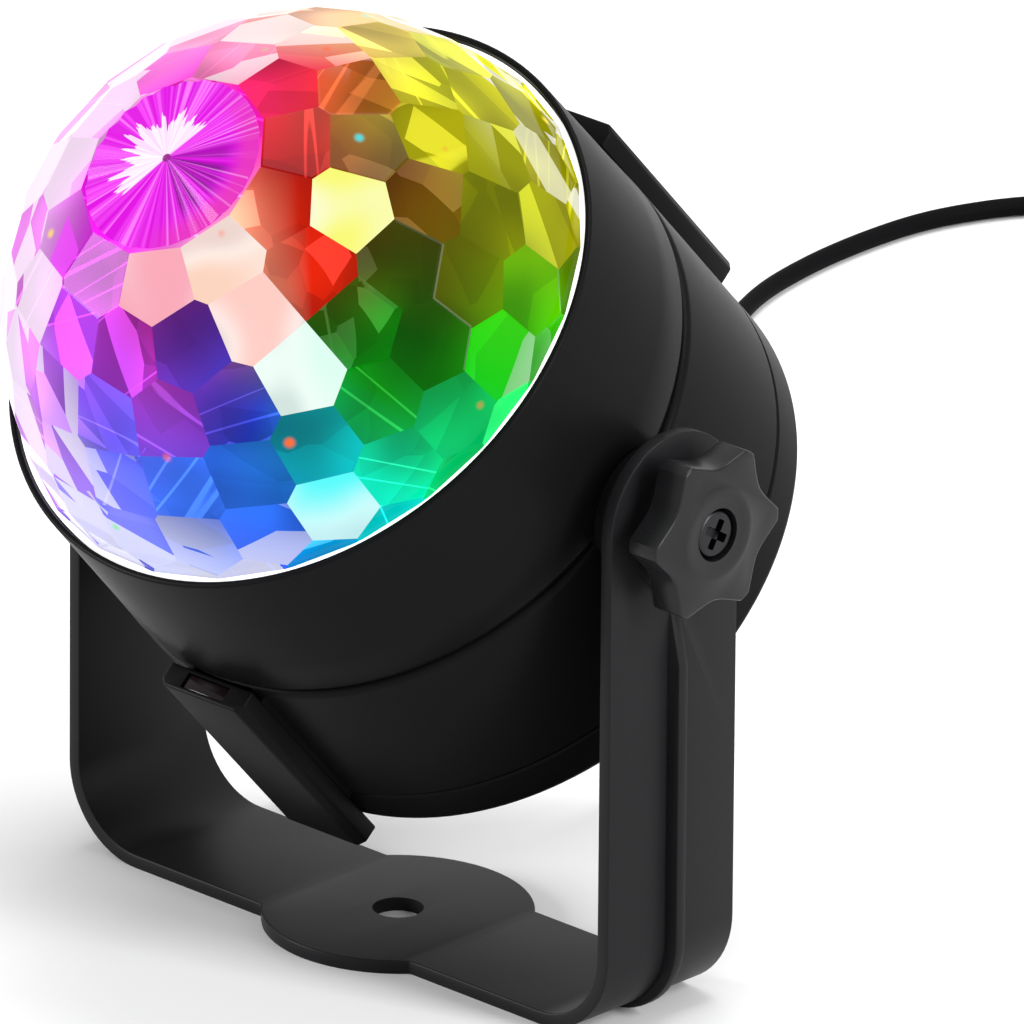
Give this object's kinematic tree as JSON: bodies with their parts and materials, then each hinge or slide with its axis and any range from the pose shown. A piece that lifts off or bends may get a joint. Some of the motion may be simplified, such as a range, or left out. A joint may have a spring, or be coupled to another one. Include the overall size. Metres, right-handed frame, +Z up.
{
  "type": "led disco ball light",
  "caption": "Rotating faceted colour light dome in a round black housing that tilts in a U-shaped bracket with knobs, and a low-voltage cord.",
  "frame": {"origin": "on the surface that the bracket stands on, under the middle of the bracket and head, leaving the cord out", "axes": "+X along the tilt axis to the right knob, -Y towards the front where the dome points, +Z up"},
  "size_m": [0.191, 0.3445, 0.1373],
  "materials": {
    "black_plastic": "satin black moulding with a fine grain",
    "black_strip": "satin black moulded strip",
    "black_rubber": "soft matte black",
    "white_plastic": "gloss white",
    "clear_plastic": "clear faceted moulding lit in many colours from inside",
    "dark_window": "dark infrared filter, polished",
    "steel": "zinc plated",
    "black_steel": "black oxide",
    "brass": "plain turned",
    "aluminium": "satin",
    "board_green": "green solder mask",
    "chip_black": "matte black",
    "red_lens": "clear red",
    "green_lens": "clear green",
    "blue_lens": "clear blue",
    "gear_white": "natural white"
  },
  "bodies": {
    "bracket": {"bracket": "black_strip", "friction_washer_left": "black_rubber", "friction_washer_right": "black_rubber", "cord_lead": "black_rubber", "cord_coil": "black_rubber", "cord_tail": "black_rubber", "plug_body": "black_rubber", "plug_shell": "steel", "plug_tongue": "white_plastic"},
    "head": {"front_shell": "black_plastic", "rear_shell": "black_plastic", "rear_cap": "black_plastic", "cap_screw_1": "steel", "cap_screw_2": "steel", "cap_screw_3": "steel", "ir_window": "dark_window", "ir_receiver": "chip_black", "strain_relief": "black_rubber", "cord_inner": "black_rubber", "led_deck": "white_plastic", "deck_screw_1": "steel", "deck_screw_2": "steel", "deck_screw_3": "steel", "light_board": "aluminium", "light_board_screw_1": "steel", "light_board_screw_2": "steel", "led_red": "red_lens", "led_green": "green_lens", "led_blue": "blue_lens", "light_wires": "black_rubber", "motor_wires": "black_rubber", "drive_frame": "gear_white", "drive_frame_screw_1": "steel", "drive_frame_screw_2": "steel", "drive_frame_screw_3": "steel", "motor_can": "steel", "motor_screw_1": "steel", "motor_screw_2": "steel", "control_board": "board_green", "board_screw_1": "steel", "board_screw_2": "steel", "board_screw_3": "steel", "control_chip": "chip_black", "capacitor": "aluminium", "microphone": "aluminium", "pivot_insert_left": "brass", "pivot_insert_right": "brass"},
    "dome": {"dome": "clear_plastic", "dome_rim_ring": "white_plastic", "dome_spindle": "steel", "spindle_wheel": "gear_white"},
    "motor_rotor": {"motor_pinion": "brass", "motor_shaft": "steel"},
    "washer_right": {"knob_washer_right": "steel"},
    "washer_left": {"knob_washer_left": "steel"},
    "knob_right": {"knob_right": "black_plastic", "knob_screw_right": "black_steel"},
    "knob_left": {"knob_left": "black_plastic", "knob_screw_left": "black_steel"}
  },
  "joints": [
    {"name": "head_tilt", "type": "hinge", "parent": "bracket", "child": "head", "pos_m": [0, 0.00082, 0.0748], "axis": [1, 0, 0], "range_deg": [-42, 90], "deforming": ["cord_lead"]},
    {"name": "dome_spin", "type": "hinge", "parent": "head", "child": "dome", "pos_m": [0, 0.00082, 0.0748], "axis": [0, -0.6691, 0.7431], "continuous": true},
    {"name": "motor_spin", "type": "hinge", "parent": "head", "child": "motor_rotor", "pos_m": [0.01404, 0.00082, 0.0748], "axis": [0, -0.6691, 0.7431], "continuous": true},
    {"name": "knob_advance_right", "type": "slide", "parent": "head", "child": "washer_right", "axis": [1, 0, 0], "range_m": [0, 0.0007]},
    {"name": "knob_turn_right", "type": "hinge", "parent": "washer_right", "child": "knob_right", "pos_m": [0.06, 0.00082, 0.0748], "axis": [1, 0, 0], "range_deg": [0, 360]},
    {"name": "knob_advance_left", "type": "slide", "parent": "head", "child": "washer_left", "axis": [-1, 0, 0], "range_m": [0, 0.0007]},
    {"name": "knob_turn_left", "type": "hinge", "parent": "washer_left", "child": "knob_left", "pos_m": [-0.06, 0.00082, 0.0748], "axis": [-1, 0, 0], "range_deg": [0, 360]}
  ],
  "couplings": [
    {"joint": "motor_spin", "follows": "dome_spin", "ratio": -3.3333},
    {"joint": "knob_advance_right", "follows": "knob_turn_right", "m_per_rad": 0.000111},
    {"joint": "knob_advance_left", "follows": "knob_turn_left", "m_per_rad": 0.000111}
  ]
}
